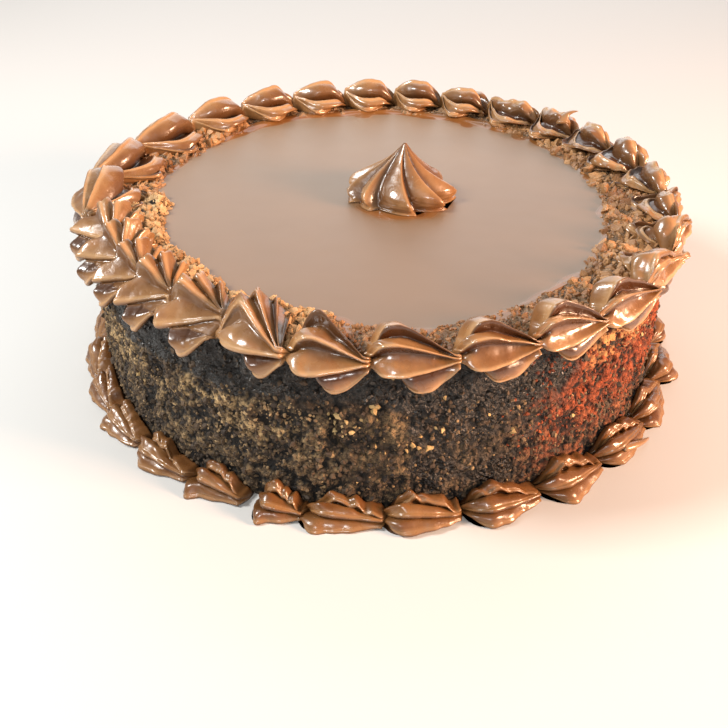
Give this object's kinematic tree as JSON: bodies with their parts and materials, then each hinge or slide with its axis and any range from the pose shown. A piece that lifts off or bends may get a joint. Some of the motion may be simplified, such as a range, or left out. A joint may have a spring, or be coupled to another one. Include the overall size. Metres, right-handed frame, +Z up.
{
  "type": "chocolate cheesecake",
  "caption": "Round whole cheesecake with a crumb-coated side, a smooth chocolate glaze, a piped centre star and piped shell borders round its rim and foot.",
  "frame": {"origin": "centre of the cake's flat underside", "axes": "+Z up along the cake's axis, -Y towards the side the picture shows, +X to the right of it"},
  "size_m": [0.2543, 0.2549, 0.086],
  "materials": {
    "crumb": "rough dark chocolate crumb",
    "glaze": "smooth satin chocolate glaze",
    "ganache": "glossy piped ganache"
  },
  "bodies": {
    "root": {"crumb_cake": "crumb", "chocolate_glaze": "glaze", "centre_star": "ganache", "top_shell_01": "ganache", "top_shell_02": "ganache", "top_shell_03": "ganache", "top_shell_04": "ganache", "top_shell_05": "ganache", "top_shell_06": "ganache", "top_shell_07": "ganache", "top_shell_08": "ganache", "top_shell_09": "ganache", "top_shell_10": "ganache", "top_shell_11": "ganache", "top_shell_12": "ganache", "top_shell_13": "ganache", "top_shell_14": "ganache", "top_shell_15": "ganache", "top_shell_16": "ganache", "top_shell_17": "ganache", "top_shell_18": "ganache", "top_shell_19": "ganache", "top_shell_20": "ganache", "top_shell_21": "ganache", "top_shell_22": "ganache", "top_shell_23": "ganache", "top_shell_24": "ganache", "top_shell_25": "ganache", "top_shell_26": "ganache", "top_shell_27": "ganache", "top_shell_28": "ganache", "base_shell_01": "ganache", "base_shell_02": "ganache", "base_shell_03": "ganache", "base_shell_04": "ganache", "base_shell_05": "ganache", "base_shell_06": "ganache", "base_shell_07": "ganache", "base_shell_08": "ganache", "base_shell_09": "ganache", "base_shell_10": "ganache", "base_shell_11": "ganache", "base_shell_12": "ganache", "base_shell_13": "ganache", "base_shell_14": "ganache", "base_shell_15": "ganache", "base_shell_16": "ganache", "base_shell_17": "ganache", "base_shell_18": "ganache", "base_shell_19": "ganache", "base_shell_20": "ganache", "base_shell_21": "ganache", "base_shell_22": "ganache", "base_shell_23": "ganache", "base_shell_24": "ganache", "base_shell_25": "ganache", "base_shell_26": "ganache", "base_shell_27": "ganache"}
  },
  "joints": []
}
